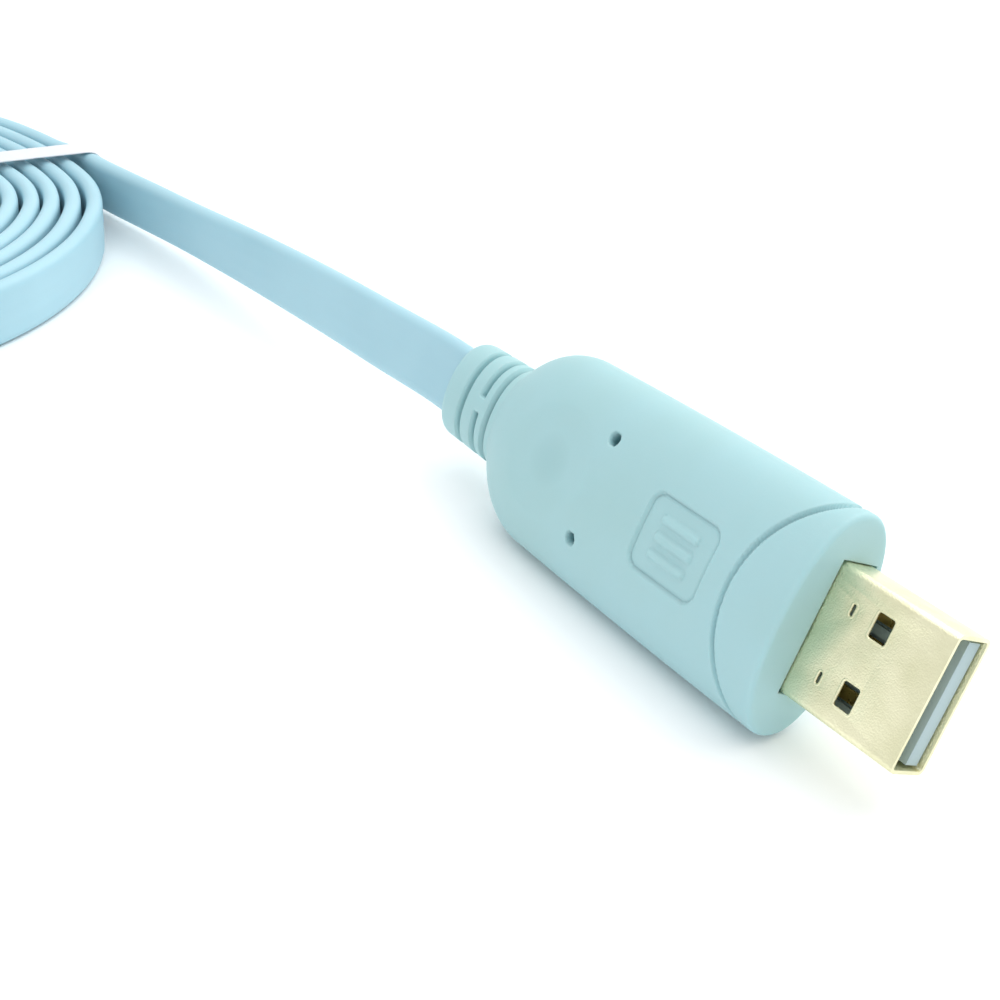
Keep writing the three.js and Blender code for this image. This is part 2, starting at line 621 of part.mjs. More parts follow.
function tailCurve() {
  const points = [coilPoint(COIL_END_ANGLE, COIL_INNER_TURN_RADIUS, LEAD_WIDTH / 2)];
  for (const [turn, radius, height] of TAIL_ROUTE) {
    points.push(coilPoint(COIL_END_ANGLE + THREE.MathUtils.degToRad(turn), radius, height));
  }
  const end = RJ45_THROAT_DEPTH - GAP;
  for (const ahead of [0, end / 2, end]) points.push(rj45Point(ahead));
  return smooth(new THREE.CatmullRomCurve3(points, false, 'centripetal'));
}

// The whole cable

function piece(name, geometry, material) {
  const mesh = new THREE.Mesh(geometry, material);
  mesh.name = name;
  return mesh;
}

const plug = new THREE.Group();
plug.add(piece('usb_housing', usbHousing(), softPlastic));
plug.add(piece('usb_shell', usbShell(), platedSteel));
plug.add(piece('usb_tongue', usbTongue(), tonguePlastic));
CONTACT_OFFSETS.forEach((y, i) => plug.add(piece(`usb_contact_${i + 1}`, usbContact(y), gold)));
plug.rotation.set(PLUG_ROLL, -PLUG_NOSE_UP, 0, 'YXZ');
plug.updateMatrixWorld(true);
const plugBox = new THREE.Box3().setFromObject(plug, true);
plug.position.z = -plugBox.min.z;
plug.updateMatrixWorld(true);

const leadRoll = (s) => (Math.PI / 2 - PLUG_ROLL) * (1 - THREE.MathUtils.smoothstep(s, 0.0, 0.9));
const upright = () => 0;

const farPlug = new THREE.Group();
farPlug.add(piece('rj45_plug', rj45Plug(), clearPlastic));
for (let i = 0; i < RJ45_CONTACT_COUNT; i += 1) {
  farPlug.add(piece(`rj45_contact_${i + 1}`, rj45Contact(i), gold));
}
farPlug.rotation.set(-Math.PI / 2, 0, RJ45_HEADING, 'ZYX');
farPlug.position.copy(rj45Point(0));

const cable = new THREE.Group();
cable.add(plug, farPlug);
cable.add(piece('cord_lead', ribbon(leadCurve(plug.matrixWorld), 30, leadRoll), softPlastic));
cable.add(piece('cord_coil', coil(), softPlastic));
cable.add(piece('cord_tail', ribbon(tailCurve(), 24, upright), softPlastic));
cable.add(piece('coil_tie', coilTie(), whiteTie));

const middle = plugBox.getCenter(new THREE.Vector3());
cable.position.set(-middle.x, -middle.y, 0);
cable.updateMatrixWorld(true);

export default cable;
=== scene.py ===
"""A flat console cable on a pale floor: a moulded USB plug, its lead wound on edge, and a clear far plug.

Everything is in metres, in the part's own frame: the origin is on the floor in the middle below the USB plug,
X runs the way that the plug goes in and Z is up. Sizes are written in millimetres and radians, unless a class
says otherwise, and they are scaled by MM where meshes are made.
"""
from __future__ import annotations

import json
import logging
import math
from dataclasses import dataclass
from enum import Enum
from typing import Sequence

import bmesh
import bpy
from mathutils import Matrix, Vector, noise

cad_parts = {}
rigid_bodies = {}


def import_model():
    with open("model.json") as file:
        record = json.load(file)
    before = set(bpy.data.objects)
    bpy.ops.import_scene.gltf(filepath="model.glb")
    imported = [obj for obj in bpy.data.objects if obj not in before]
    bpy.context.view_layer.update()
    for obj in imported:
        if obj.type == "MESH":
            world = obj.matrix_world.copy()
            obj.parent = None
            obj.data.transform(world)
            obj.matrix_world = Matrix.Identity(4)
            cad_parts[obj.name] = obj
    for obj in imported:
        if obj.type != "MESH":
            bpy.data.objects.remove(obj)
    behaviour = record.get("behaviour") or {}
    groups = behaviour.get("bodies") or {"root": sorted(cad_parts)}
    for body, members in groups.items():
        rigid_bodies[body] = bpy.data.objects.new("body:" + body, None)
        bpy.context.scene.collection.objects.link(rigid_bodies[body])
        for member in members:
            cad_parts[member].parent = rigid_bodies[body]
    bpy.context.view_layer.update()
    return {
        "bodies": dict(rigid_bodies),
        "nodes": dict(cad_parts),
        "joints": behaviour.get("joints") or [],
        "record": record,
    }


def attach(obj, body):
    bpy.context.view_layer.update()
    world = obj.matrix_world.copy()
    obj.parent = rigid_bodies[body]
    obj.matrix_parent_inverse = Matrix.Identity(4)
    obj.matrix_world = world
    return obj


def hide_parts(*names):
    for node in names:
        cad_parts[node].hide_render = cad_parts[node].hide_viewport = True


LOG = logging.getLogger("console_cable")
MM = 0.001
TINY = 1e-6
UP = Vector((0.0, 0.0, 1.0))
Pair = tuple[float, float]
Triple = tuple[float, float, float]


def smoothstep(value: float, low: float, high: float) -> float:
    """Rises smoothly from 0 at low to 1 at high."""
    t = min(1.0, max(0.0, (value - low) / (high - low)))
    return t * t * (3.0 - 2.0 * t)


def mix(a: float, b: float, share: float) -> float:
    """The number at a share of the way from a to b."""
    return a + (b - a) * share


def swell(value: float, middle: float, width: float) -> float:
    """A soft hump, 1 at its middle and near 0 two widths away."""
    return math.exp(-((value - middle) / width) ** 2)


def signed_power(value: float, power: float) -> float:
    """A power of a number's size, with the number's sign."""
    return math.copysign(abs(value) ** power, value)


def rounded_box_distance(x: float, y: float, half_x: float, half_y: float, corner: float) -> float:
    """The distance from a rounded rectangle's edge.

    Args:
        x: The place along it, from its middle.
        y: The place across it, from its middle.
        half_x: Half of its length.
        half_y: Half of its width.
        corner: The radius of its corners.

    Returns:
        The distance, below 0 inside it.
    """
    dx = abs(x) - half_x + corner
    dy = abs(y) - half_y + corner
    outside = math.hypot(max(dx, 0.0), max(dy, 0.0))
    return outside + min(max(dx, dy), 0.0) - corner


def join_rings(work: bmesh.types.BMesh, rings: list[list[bmesh.types.BMVert]], closed: bool = False) -> None:
    """Joins rings of points into a smooth skin.

    Args:
        work: The mesh in the making.
        rings: Its rings, all of one length.
        closed: Whether the last ring joins the first. Otherwise a face closes each end.
    """
    following = rings[1:] + rings[:1] if closed else rings[1:]
    for here, there in zip(rings, following):
        for j in range(len(here)):
            k = (j + 1) % len(here)
            work.faces.new((here[j], here[k], there[k], there[j])).smooth = True
    if not closed:
        work.faces.new(rings[0])
        work.faces.new(rings[-1])


def finished_mesh(work: bmesh.types.BMesh, name: str) -> bpy.types.Mesh:
    """Turns the faces outwards and hands the mesh over.

    Args:
        work: The mesh in the making, which is freed.
        name: Its name.

    Returns:
        The mesh.
    """
    bmesh.ops.recalc_face_normals(work, faces=work.faces)
    data = bpy.data.meshes.new(name)
    work.to_mesh(data)
    work.free()
    return data


def set_sockets(node: bpy.types.Node, values: dict[str, object]) -> None:
    """Sets sockets of a node, by name, to plain values."""
    for name, value in values.items():
        node.inputs[name].default_value = value


class Finish(Enum):
    """The finishes of the cable, each named for its slot in the part's record."""

    VINYL = "blue_vinyl"
    JACKET = "blue_jacket"
    TONGUE = "grey_plastic"
    STEEL = "plated_steel"
    GOLD = "gold_contact"
    CLEAR = "clear_plastic"
    TIE = "white_tie"


@dataclass(frozen=True)
class Look:
    """A finish: its two near colours, its gloss and its grain, and the colour of the painted shade that
    darkens its grooves.
    """

    colour: Triple
    second: Triple
    rough: float = 0.45
    rough_change: float = 0.08
    metal: float = 0.0
    specular: float = 0.5
    subsurface: float = 0.0
    transmission: float = 0.0
    ior: float = 1.5
    mottle_scale: float = 60.0
    grain: float = 0.1
    grain_scale: float = 3000.0
    # groove: the colour of painted shade in sunk places, or none
    groove: Triple | None = None


LOOKS = {
    Finish.VINYL: Look((0.375, 0.59, 0.605), (0.39, 0.615, 0.65), rough=0.46, subsurface=0.25,
                       # The vinyl's groove colour is painted shade: it darkens the housing where its surface
                       # is sunk, in grooves and holes.
                       grain=0.14, grain_scale=5200.0, groove=(0.16, 0.34, 0.37)),
    Finish.JACKET: Look((0.37, 0.59, 0.675), (0.405, 0.63, 0.715), rough=0.4, subsurface=0.25,
                        mottle_scale=45.0, grain=0.05),
    Finish.TONGUE: Look((0.36, 0.48, 0.50), (0.42, 0.54, 0.56), rough=0.42),
    Finish.STEEL: Look((0.92, 0.88, 0.62), (0.80, 0.77, 0.52), rough=0.32, rough_change=0.1, metal=1.0,
                       mottle_scale=260.0, grain=0.5, grain_scale=6500.0),
    Finish.GOLD: Look((0.86, 0.62, 0.25), (0.78, 0.55, 0.2), rough=0.25, metal=1.0, mottle_scale=400.0,
                      grain=0.04),
    Finish.CLEAR: Look((0.93, 0.97, 0.98), (0.9, 0.95, 0.96), rough=0.06, rough_change=0.04,
                       transmission=0.92, ior=1.58, grain=0.02),
    Finish.TIE: Look((0.78, 0.79, 0.82), (0.7, 0.72, 0.76), rough=0.5, subsurface=0.2, grain=0.3,
                     grain_scale=1400.0),
}


@dataclass
class Shaders:
    """The node groups that the finishes share, and the finishes made with them."""

    cloud_detail: float = 3.0
    cloud_roughness: float = 0.55
    cloud_range: Pair = (0.3, 0.7)
    grain_detail: float = 2.0
    grain_depth: float = 0.0001
    subsurface_radius: Triple = (0.6, 1.0, 1.0)
    subsurface_scale: float = 0.0012
    # Painted shade: the sunk depths over which grooves darken, and the most of the shade colour mixed in.
    painted_shade_depths: Pair = (0.3, 1.0)
    painted_shade_share: float = 0.9

    def __post_init__(self) -> None:
        """Builds both groups once."""
        self.mottle = self.mottle_group()
        self.grain = self.grain_group()

    @staticmethod
    def new_group(name: str, inputs: dict[str, float], output: str, kind: str) -> bpy.types.NodeTree:
        """Starts a group that has number inputs and one output.

        Args:
            name: The group's name.
            inputs: Its inputs and their usual values.
            output: The output's name.
            kind: The output's socket type.

        Returns:
            The group.
        """
        group = bpy.data.node_groups.new(name, "ShaderNodeTree")
        for label, value in inputs.items():
            socket = group.interface.new_socket(label, in_out="INPUT", socket_type="NodeSocketFloat")
            socket.default_value = value
        group.interface.new_socket(output, in_out="OUTPUT", socket_type=kind)
        return group

    def mottle_group(self) -> bpy.types.NodeTree:
        """Builds a soft cloudy mask in the object's own coordinates.

        Returns:
            The group.
        """
        group = self.new_group("Cloudy mask", {"Scale": 60.0}, "Mask", "NodeSocketFloat")
        nodes = group.nodes
        links = group.links
        entry = nodes.new("NodeGroupInput")
        leave = nodes.new("NodeGroupOutput")
        place = nodes.new("ShaderNodeTexCoord")
        cloud = nodes.new("ShaderNodeTexNoise")
        set_sockets(cloud, {"Detail": self.cloud_detail, "Roughness": self.cloud_roughness})
        ramp = nodes.new("ShaderNodeMapRange")
        ramp.interpolation_type = "SMOOTHSTEP"
        set_sockets(ramp, {"From Min": self.cloud_range[0], "From Max": self.cloud_range[1]})
        links.new(place.outputs["Object"], cloud.inputs["Vector"])
        links.new(entry.outputs["Scale"], cloud.inputs["Scale"])
        links.new(cloud.outputs["Fac"], ramp.inputs["Value"])
        links.new(ramp.outputs["Result"], leave.inputs["Mask"])
        return group

    def grain_group(self) -> bpy.types.NodeTree:
        """Builds a fine moulded grain as a bumped normal.

        Returns:
            The group.
        """
        inputs = {"Scale": 3000.0, "Strength": 0.1}
        group = self.new_group("Moulded grain", inputs, "Normal", "NodeSocketVector")
        nodes = group.nodes
        links = group.links
        entry = nodes.new("NodeGroupInput")
        leave = nodes.new("NodeGroupOutput")
        place = nodes.new("ShaderNodeTexCoord")
        grain = nodes.new("ShaderNodeTexNoise")
        set_sockets(grain, {"Detail": self.grain_detail})
        bump = nodes.new("ShaderNodeBump")
        set_sockets(bump, {"Distance": self.grain_depth})
        links.new(place.outputs["Object"], grain.inputs["Vector"])
        links.new(entry.outputs["Scale"], grain.inputs["Scale"])
        links.new(grain.outputs["Fac"], bump.inputs["Height"])
        links.new(entry.outputs["Strength"], bump.inputs["Strength"])
        links.new(bump.outputs["Normal"], leave.inputs["Normal"])
        return group

    def painted_groove_shade(self, tree: bpy.types.NodeTree, base: bpy.types.NodeSocket,
                 groove: Triple) -> bpy.types.NodeSocket:
        """Paints shade into a colour where the mesh says that its surface is sunk, so grooves and holes look
        shaded.

        Args:
            tree: The material's nodes.
            base: The colour's socket.
            groove: The painted shade's colour in the deepest places.

        Returns:
            The socket of the new colour.
        """
        sunk = tree.nodes.new("ShaderNodeAttribute")
        sunk.attribute_name = "sunk"
        depth = tree.nodes.new("ShaderNodeMapRange")
        set_sockets(depth, {"From Min": self.painted_shade_depths[0], "From Max": self.painted_shade_depths[1],
                            "To Max": self.painted_shade_share})
        shaded = tree.nodes.new("ShaderNodeMix")
        shaded.data_type = "RGBA"
        set_sockets(shaded, {"B": (*groove, 1.0)})
        tree.links.new(sunk.outputs["Fac"], depth.inputs["Value"])
        tree.links.new(depth.outputs["Result"], shaded.inputs["Factor"])
        tree.links.new(base, shaded.inputs["A"])
        return shaded.outputs["Result"]

    def finish(self, name: str, look: Look) -> bpy.types.Material:
        """Makes one finish.

        Args:
            name: The material's name.
            look: Its colours and surface.

        Returns:
            The material.
        """
        material = bpy.data.materials.new(name)
        material.use_nodes = True
        nodes = material.node_tree.nodes
        links = material.node_tree.links
        shader = nodes["Principled BSDF"]
        set_sockets(shader, {
            "Metallic": look.metal,
            "Specular IOR Level": look.specular,
            "Subsurface Weight": look.subsurface,
            "Subsurface Radius": self.subsurface_radius,
            "Subsurface Scale": self.subsurface_scale,
            "Transmission Weight": look.transmission,
            "IOR": look.ior,
        })
        mask = nodes.new("ShaderNodeGroup")
        mask.node_tree = self.mottle
        set_sockets(mask, {"Scale": look.mottle_scale})
        colour = nodes.new("ShaderNodeMix")
        colour.data_type = "RGBA"
        set_sockets(colour, {"A": (*look.colour, 1.0), "B": (*look.second, 1.0)})
        links.new(mask.outputs["Mask"], colour.inputs["Factor"])
        base = colour.outputs["Result"]
        # Painted shade: the colour darkens towards the look's groove colour where the surface is sunk.
        if look.groove is not None:
            base = self.painted_groove_shade(material.node_tree, base, look.groove)
        links.new(base, shader.inputs["Base Color"])
        rough = nodes.new("ShaderNodeMapRange")
        set_sockets(rough, {"To Min": look.rough, "To Max": look.rough + look.rough_change})
        links.new(mask.outputs["Mask"], rough.inputs["Value"])
        links.new(rough.outputs["Result"], shader.inputs["Roughness"])
        grain = nodes.new("ShaderNodeGroup")
        grain.node_tree = self.grain
        set_sockets(grain, {"Scale": look.grain_scale, "Strength": look.grain})
        links.new(grain.outputs["Normal"], shader.inputs["Normal"])
        return material


class Bench:
    """Where pieces are put together: the part's frame, and the materials by finish."""

    def __init__(self, frame: dict) -> None:
        """Keeps the frame and makes the materials."""
        self.frame = frame
        shaders = Shaders()
        self.materials = {finish: shaders.finish(finish.value, look) for finish, look in LOOKS.items()}

    def add(self, name: str, mesh: bpy.types.Mesh, finish: Finish) -> bpy.types.Object:
        """Adds a piece with its finish and lets it ride on the root.

        Args:
            name: The piece's name.
            mesh: Its mesh.
            finish: Its finish.

        Returns:
            The piece.
        """
        piece = bpy.data.objects.new(name, mesh)
        bpy.context.collection.objects.link(piece)
        mesh.materials.clear()
        mesh.materials.append(self.materials[finish])
        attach(piece, "root")
        return piece

    def crisp_copy(self, node: str, name: str, finish: Finish, bevel: float, steps: int = 3,
                   flat: float = math.radians(1.0), sharp: float = math.radians(30)) -> bpy.types.Object:
        """Replaces a CAD node by the same form with rounded edges.

        Args:
            node: The node's name.
            name: The new piece's name.
            finish: Its finish.
            bevel: The radius of its edges, in millimetres.
            steps: How many facets round an edge.
            flat: The angle below which faces are one.
            sharp: The angle above which an edge is rounded.

        Returns:
            The piece.
        """
        source = self.frame["nodes"][node]
        mesh = source.data.copy()
        mesh.transform(source.matrix_world)
        work = bmesh.new()
        work.from_mesh(mesh)
        bmesh.ops.remove_doubles(work, verts=work.verts, dist=1e-7)
        bmesh.ops.dissolve_limit(work, angle_limit=flat, verts=work.verts, edges=work.edges)
        for face in work.faces:
            face.smooth = True
        work.to_mesh(mesh)
        work.free()
        shaped = bpy.data.objects.new(name + "_shaping", mesh)
        bpy.context.collection.objects.link(shaped)
        rounded = shaped.modifiers.new("edges", "BEVEL")
        rounded.width = bevel * MM
        rounded.segments = steps
        rounded.limit_method = "ANGLE"
        rounded.angle_limit = sharp
        rounded.harden_normals = True
        depsgraph = bpy.context.evaluated_depsgraph_get()
        result = bpy.data.meshes.new_from_object(shaped.evaluated_get(depsgraph))
        bpy.data.objects.remove(shaped)
        piece = self.add(name, result, finish)
        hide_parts(node)
        return piece


@dataclass(frozen=True)
class PlugPose:
    """How the USB plug lies: turned about its length, nose a little up, at its place in the part's frame."""

    roll: float = math.radians(65.4)
    nose_up: float = math.radians(1.7)
    place: Triple = (19.6005, 1.0911, 9.5823)

    def matrix(self) -> Matrix:
        """The plug's frame in the part's frame, in millimetres."""
        turn = Matrix.Rotation(-self.nose_up, 4, "Y") @ Matrix.Rotation(self.roll, 4, "X")
        return Matrix.Translation(self.place) @ turn

    def below(self) -> Vector:
        """The floor's point below the plug's front, from which the coil and the route are measured."""
        return Vector((*self.place[:2], 0.0))


POSE = PlugPose()


@dataclass
class Smooth:
    """A centripetal Catmull-Rom curve through points."""

    points: list[Vector]

    @staticmethod
    def between(a: Vector, b: Vector, start: float, end: float, t: float) -> Vector:
        """The point at t on the line that leaves a at start and reaches b at end."""
        return a * ((end - t) / (end - start)) + b * ((t - start) / (end - start))

    def segment(self, index: int, share: float) -> Vector:
        """A point on one span.

        Args:
            index: The span's number.
            share: How far along the span, from 0 to 1.

        Returns:
            The point.
        """
        p = self.points
        p1 = p[index]
        p2 = p[index + 1]
        p0 = p[index - 1] if index > 0 else p1 * 2 - p2
        p3 = p[index + 2] if index + 2 < len(p) else p2 * 2 - p1
        knots = [0.0]
        for a, b in ((p0, p1), (p1, p2), (p2, p3)):
            knots.append(knots[-1] + max(TINY, (b - a).length) ** 0.5)
        t = mix(knots[1], knots[2], share)
        a1 = self.between(p0, p1, knots[0], knots[1], t)
        a2 = self.between(p1, p2, knots[1], knots[2], t)
        a3 = self.between(p2, p3, knots[2], knots[3], t)
        b1 = self.between(a1, a2, knots[0], knots[2], t)
        b2 = self.between(a2, a3, knots[1], knots[3], t)
        return self.between(b1, b2, knots[1], knots[2], t)

    def sampled(self, step: float) -> list[Vector]:
        """Walks the whole curve.

        Args:
            step: About how far apart the points are.

        Returns:
            The points.
        """
        out = []
        for i in range(len(self.points) - 1):
            count = max(1, round((self.points[i + 1] - self.points[i]).length / step))
            out += [self.segment(i, k / count) for k in range(count)]
        out.append(self.points[-1].copy())
        return out


@dataclass
class FlatLead:
    """The whole lead: one flat ribbon from the strain relief through the coil to the far plug.

    Its real length is in metres. The route is the one that the part's source has.
    """

    real_length: float = 1.52
    width: float = 7.3
    thickness: float = 2.05
    edge: float = 0.9
    edge_steps: int = 7
    face_steps: int = 16
    face_bed: float = 0.03
    ridges: tuple[Pair, ...] = ((0.75, 0.035), (-1.1, 0.03))
    ridge_width: float = 0.32
    sample_step: float = 1.1
    relief_end: float = -51.3
    relief_offset: float = 0.6
    buried: float = 0.6
    straight: float = 5.0
    upright_at: float = 62.0
    lean: float = math.radians(7.0)
    lean_grows: Pair = (28.0, 62.0)
    lean_fades: Pair = (76.0, 96.0)
    coil_centre: Pair = (-134.7, -49.4)
    coil_shift: Triple = (0.6, -0.2, 0.0)
    outer_turn_radius: float = 40.6
    pitch: float = 2.6
    turns: int = 7
    exit_angle: float = math.radians(102)
    step_starts: float = 0.9
    per_turn: int = 40
    settle_turns: float = 0.5
    wander: float = 0.25
    wander_grows: Pair = (0.9, 1.2)
    wander_around: float = 1.3
    wander_per_turn: float = 0.9
    lift: float = 0.12
    lift_seed: float = 7.0
    lift_per_turn: float = 1.7
    rj45_turn: float = math.radians(147.5)
    rj45_distance: float = 5.84
    rj45_heading_turn: float = math.radians(280)
    rj45_height: float = 5.84
    throat: float = 8.7
    route: tuple[Triple, ...] = (
        (-66.0, -1.05, 7.7), (-75.0, -1.5, 7.3), (-84.5, -2.0, 6.75), (-95.0, -2.75, 6.1),
        (-105.5, -3.65, 5.4), (-114.0, -4.65, 5.0), (-121.0, -5.65, 4.7), (-126.0, -6.4, 4.5),
        (-131.0, -7.1, 4.35), (-135.2, -8.0, 4.12), (-139.0, -8.78, 3.72),
    )
    tail: tuple[Triple, ...] = (
        (10, 22.33, 3.67), (25, 22.2, 3.85), (38, 22.1, 4.2), (50, 22.0, 4.6), (63.6, 21.5, 5.05),
        (77.4, 20.0, 5.4), (91.4, 17.5, 5.65), (106, 14.25, 5.8), (119, 11.15, 5.84), (134, 7.76, 5.84),
    )

    def end_angle(self) -> float:
        """The angle at which the inner turn ends."""
        return self.exit_angle + self.turns * math.tau

    def coil_point(self, angle: float, radius: float, height: float) -> Vector:
        """A point at an angle, a distance from the coil's middle and a height, in the part's frame."""
        x, y = self.coil_centre
        return POSE.below() + Vector((x + radius * math.cos(angle), y + radius * math.sin(angle), height))

    def turn_radius(self, turned: float) -> float:
        """The radius after some turns, each of which keeps its circle and steps in at its end.

        Args:
            turned: How many turns.

        Returns:
            The radius.
        """
        whole = math.floor(turned)
        stepped = smoothstep(turned - whole, self.step_starts, 1.0)
        return self.outer_turn_radius - self.pitch * (whole + stepped)

    def lead_points(self) -> list[Vector]:
        """The route from inside the strain relief to the coil's outer turn.

        Returns:
            Its points.
        """
        frame = POSE.matrix()
        points = []
        for ahead in (self.buried, -self.straight):
            points.append(frame @ Vector((self.relief_end + ahead, 0.0, self.relief_offset)))
        points += [POSE.below() + Vector(place) for place in self.route]
        return points

    def coil_points(self) -> list[Vector]:
        """The turns, from the outer one to the inner one, a little uneven as hands wind them.

        Returns:
            Their points.
        """
        out = []
        for i in range(self.turns * self.per_turn + 1):
            turned = i / self.per_turn
            angle = self.exit_angle + turned * math.tau
            c = math.cos(angle)
            k = math.sin(angle)
            settle = min(1.0, turned / self.settle_turns, (self.turns - turned) / self.settle_turns)
            grown = smoothstep(turned, *self.wander_grows)
            wander = noise.noise(Vector((c * self.wander_around, k * self.wander_around,
                                         turned * self.wander_per_turn)))
            rise = noise.noise(Vector((c, k, self.lift_seed + turned * self.lift_per_turn)))
            lift = self.lift + self.lift * rise
            radius = self.turn_radius(min(turned, self.turns - TINY)) + self.wander * wander * settle * grown
            point = self.coil_point(angle, radius, self.width / 2 + lift * settle)
            out.append(point + Vector(self.coil_shift) * settle)
        return out

    def rj45_point(self, ahead: float) -> Vector:
        """A point on the far plug's middle line.

        Args:
            ahead: Its distance ahead of the plug's rear face.

        Returns:
            The point.
        """
        heading = self.end_angle() + self.rj45_heading_turn
        rear = self.coil_point(self.end_angle() + self.rj45_turn, self.rj45_distance, self.rj45_height)
        return rear + Vector((math.cos(heading), math.sin(heading), 0.0)) * ahead

    def tail_points(self) -> list[Vector]:
        """The stretch that curls in from the coil's inner end to the far plug.

        Returns:
            Its points.
        """
        out = []
        for turn, radius, height in self.tail:
            out.append(self.coil_point(self.end_angle() + math.radians(turn), radius, height))
        return out + [self.rj45_point(ahead) for ahead in (0.0, self.throat / 2, self.throat)]

    def path(self) -> list[Vector]:
        """The points of the whole route, in millimetres."""
        return self.lead_points() + self.coil_points() + self.tail_points()

    def section(self) -> list[Pair]:
        """The ribbon's outline across its length: rounded edges, and faces with two faint ridges.

        Returns:
            Its points, through the thickness and across the width.
        """
        bed = self.thickness / 2 - self.face_bed
        straight = self.width / 2 - self.edge
        face = []
        for i in range(self.face_steps + 1):
            v = mix(-straight, straight, i / self.face_steps)
            ridge = sum(height * swell(v, middle, self.ridge_width) for middle, height in self.ridges)
            face.append((bed + ridge, v))
        top = []
        for i in range(1, self.edge_steps):
            turn = math.pi * i / self.edge_steps
            top.append((bed * math.cos(turn), straight + self.edge * math.sin(turn)))
        far = [(-u, v) for u, v in reversed(face)]
        bottom = [(-u, -v) for u, v in top]
        return face + top + far + bottom

    def roll(self, along: float) -> float:
        """The ribbon's lean from upright.

        Args:
            along: The distance along it from the relief.

        Returns:
            The angle.
        """
        start = math.pi / 2 - POSE.roll
        lean_in = start * (1.0 - smoothstep(along, 0.0, self.upright_at))
        fades = 1.0 - smoothstep(along, *self.lean_fades)
        return lean_in - self.lean * smoothstep(along, *self.lean_grows) * fades

    def mesh(self) -> bpy.types.Mesh:
        """Sweeps the section along the route.

        Returns:
            The ribbon's closed mesh.
        """
        points = Smooth(self.path()).sampled(self.sample_step)
        section = self.section()
        work = bmesh.new()
        rings = []
        along = 0.0
        for before, point, after in zip(points[:1] + points, points, points[1:] + points[-1:]):
            along += (point - before).length
            tangent = (after - before).normalized()
            side = UP.cross(tangent).normalized()
            edge = tangent.cross(side)
            turn = Matrix.Rotation(self.roll(along), 3, tangent)
            side = turn @ side
            edge = turn @ edge
            rings.append([work.verts.new((point + side * u + edge * v) * MM) for u, v in section])
        join_rings(work, rings)
        return finished_mesh(work, "flat_lead")

    def build(self, bench: Bench) -> bpy.types.Object:
        """Adds the lead.

        Args:
            bench: Where it is put together.

        Returns:
            The piece.
        """
        cord = bench.add("flat_lead", self.mesh(), Finish.JACKET)
        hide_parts("cord_lead", "cord_coil", "cord_tail")
        return cord

    def declare(self) -> None:
        """Logs the lead's real length and the length of its drawn route.
        """
        path = [point * MM for point in self.path()]
        drawn = sum((b - a).length for a, b in zip(path, path[1:]))
        LOG.info("the lead is %.3f m long and drawn %.3f m long", self.real_length, drawn)


@dataclass
class Tie:
    """The soft white band around the turns."""

    lead: FlatLead
    angle: float = math.radians(87)
    width: float = 3.8
    thickness: float = 0.4
    bore_radius: float = 21.45
    outer_radius: float = 41.55
    slack_in: float = 0.6
    slack_out: float = 2.0
    top: float = 8.05
    corner: float = 2.2
    corner_steps: int = 6
    side_steps: int = 14
    around: int = 12
    squareness: float = 0.5
    ripple: float = 0.06
    ripple_grain: Triple = (0.4, 0.5, 0.8)
    ripple_above: float = 1.0

    def outline(self) -> list[Pair]:
        """The band's middle line across the coil.

        Returns:
            Its points: the distance from the coil's middle, and the height.
        """
        t = self.thickness / 2
        inside = self.bore_radius - self.slack_in - t
        outside = self.outer_radius + self.slack_out + t
        corners = ((outside, t), (outside, self.top + t), (inside, self.top + t), (inside, t))
        bends = []
        for i, (r, z) in enumerate(corners):
            for end in (corners[i - 1], corners[(i + 1) % len(corners)]):
                share = self.corner / math.hypot(end[0] - r, end[1] - z)
                bends.append((mix(r, end[0], share), mix(z, end[1], share)))
        points = []
        for i, corner in enumerate(corners):
            a = bends[2 * i]
            b = bends[2 * i + 1]
            after = bends[(2 * i + 2) % len(bends)]
            for k in range(self.corner_steps + 1):
                w = k / self.corner_steps
                points.append(tuple((1 - w) ** 2 * a[n] + 2 * w * (1 - w) * corner[n] + w * w * b[n]
                                    for n in (0, 1)))
            for k in range(1, self.side_steps):
                w = k / self.side_steps
                points.append((mix(b[0], after[0], w), mix(b[1], after[1], w)))
        return points

    def mesh(self) -> bpy.types.Mesh:
        """Sweeps the band's flat section around its line.

        Returns:
            The band's closed mesh.
        """
        line = self.outline()
        out_way = Vector((math.cos(self.angle), math.sin(self.angle), 0.0))
        across = UP.cross(out_way)
        centre = self.lead.coil_point(0.0, 0.0, 0.0)
        grain_r, grain_z, grain_v = self.ripple_grain
        work = bmesh.new()
        rings = []
        for i, (r, z) in enumerate(line):
            before = line[i - 1]
            after = line[(i + 1) % len(line)]
            normal = Vector((after[1] - before[1], before[0] - after[0])).normalized()
            ring = []
            for number in range(self.around):
                turn = math.tau * number / self.around
                u = self.thickness / 2 * math.sin(turn)
                v = self.width / 2 * signed_power(math.cos(turn), self.squareness)
                wave = self.ripple * noise.noise(Vector((r * grain_r, z * grain_z, v * grain_v)))
                height = z + normal.y * u + wave * (z > self.ripple_above)
                point = centre + out_way * (r + normal.x * u) + UP * height
                ring.append(work.verts.new((point + across * v) * MM))
            rings.append(ring)
        join_rings(work, rings, closed=True)
        return finished_mesh(work, "coil_band")

    def build(self, bench: Bench) -> bpy.types.Object:
        """Adds the band.

        Args:
            bench: Where it is put together.

        Returns:
            The piece.
        """
        band = bench.add("coil_band", self.mesh(), Finish.TIE)
        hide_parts("coil_tie")
        return band


